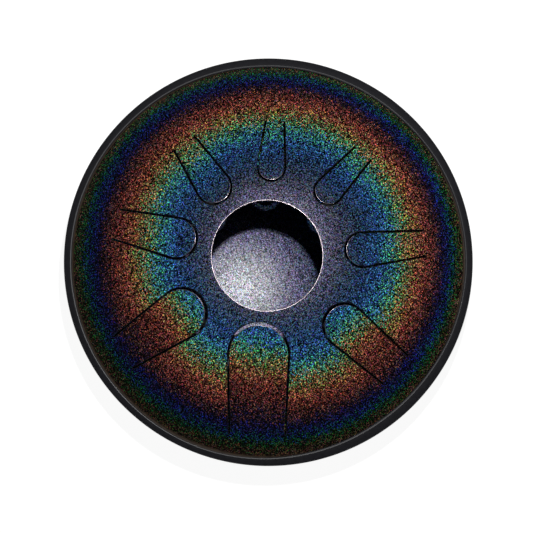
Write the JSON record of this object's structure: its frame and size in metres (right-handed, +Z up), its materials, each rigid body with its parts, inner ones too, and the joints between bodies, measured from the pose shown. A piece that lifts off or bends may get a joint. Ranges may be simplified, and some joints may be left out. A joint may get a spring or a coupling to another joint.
{
  "type": "steel tongue drum",
  "caption": "Domed steel tongue drum with a round sound hole, tongues cut in its painted top shell, a rubber trim round the rim and bolted rubber feet.",
  "frame": {"origin": "centre of the drum's footprint, on the table", "axes": "+Z up along the drum's axis, -Y towards the player and the largest tongue, +X to the player's right"},
  "size_m": [0.305, 0.305, 0.1038],
  "materials": {
    "glitter_paint": "holographic glitter lacquer on black, clear-coated, whose colour changes with slope",
    "weld_steel": "dull weld bead",
    "trim_rubber": "satin extruded rubber",
    "foot_rubber": "matt moulded rubber",
    "plated_steel": "bright zinc plate"
  },
  "bodies": {
    "drum": {"top_shell": "glitter_paint", "bottom_shell": "glitter_paint", "rim_weld": "weld_steel", "edge_trim": "trim_rubber", "foot_front_left": "foot_rubber", "foot_front_right": "foot_rubber", "foot_back_left": "foot_rubber", "foot_back_right": "foot_rubber", "foot_screws": "plated_steel", "foot_washers": "plated_steel", "inner_washers": "plated_steel", "lock_nuts": "plated_steel"},
    "tongue_front": {"tongue_front": "glitter_paint"},
    "tongue_front_left": {"tongue_front_left": "glitter_paint"},
    "tongue_front_right": {"tongue_front_right": "glitter_paint"},
    "tongue_left": {"tongue_left": "glitter_paint"},
    "tongue_right": {"tongue_right": "glitter_paint"},
    "tongue_back_left": {"tongue_back_left": "glitter_paint"},
    "tongue_back_right": {"tongue_back_right": "glitter_paint"},
    "tongue_back": {"tongue_back": "glitter_paint"}
  },
  "joints": [
    {"name": "tongue_front_flex", "type": "hinge", "parent": "drum", "child": "tongue_front", "pos_m": [-0.00779, -0.12883, 0.06675], "axis": [0.9996, -0.0279, 0], "range_deg": [-0.3, 0.3], "stiffness_Nm_per_rad": 133.8},
    {"name": "tongue_front_left_flex", "type": "hinge", "parent": "drum", "child": "tongue_front_left", "pos_m": [-0.10675, -0.06905, 0.06795], "axis": [0.5255, -0.8508, 0], "range_deg": [-0.3, 0.3], "stiffness_Nm_per_rad": 111.8},
    {"name": "tongue_front_right_flex", "type": "hinge", "parent": "drum", "child": "tongue_front_right", "pos_m": [0.09425, -0.08204, 0.06927], "axis": [0.6414, 0.7672, 0], "range_deg": [-0.3, 0.3], "stiffness_Nm_per_rad": 112.3},
    {"name": "tongue_left_flex", "type": "hinge", "parent": "drum", "child": "tongue_left", "pos_m": [-0.11194, 0.02549, 0.07499], "axis": [-0.2571, -0.9664, 0], "range_deg": [-0.3, 0.3], "stiffness_Nm_per_rad": 103},
    {"name": "tongue_right_flex", "type": "hinge", "parent": "drum", "child": "tongue_right", "pos_m": [0.11562, 0.01097, 0.07428], "axis": [-0.134, 0.991, 0], "range_deg": [-0.3, 0.3], "stiffness_Nm_per_rad": 91.1},
    {"name": "tongue_back_left_flex", "type": "hinge", "parent": "drum", "child": "tongue_back_left", "pos_m": [-0.06181, 0.08552, 0.0797], "axis": [-0.8358, -0.549, 0], "range_deg": [-0.3, 0.3], "stiffness_Nm_per_rad": 97.4},
    {"name": "tongue_back_right_flex", "type": "hinge", "parent": "drum", "child": "tongue_back_right", "pos_m": [0.0704, 0.07712, 0.08022], "axis": [-0.7536, 0.6574, 0], "range_deg": [-0.3, 0.3], "stiffness_Nm_per_rad": 86.9},
    {"name": "tongue_back_flex", "type": "hinge", "parent": "drum", "child": "tongue_back", "pos_m": [0.00564, 0.10076, 0.08185], "axis": [-0.9974, 0.0715, 0], "range_deg": [-0.3, 0.3], "stiffness_Nm_per_rad": 87.9}
  ]
}
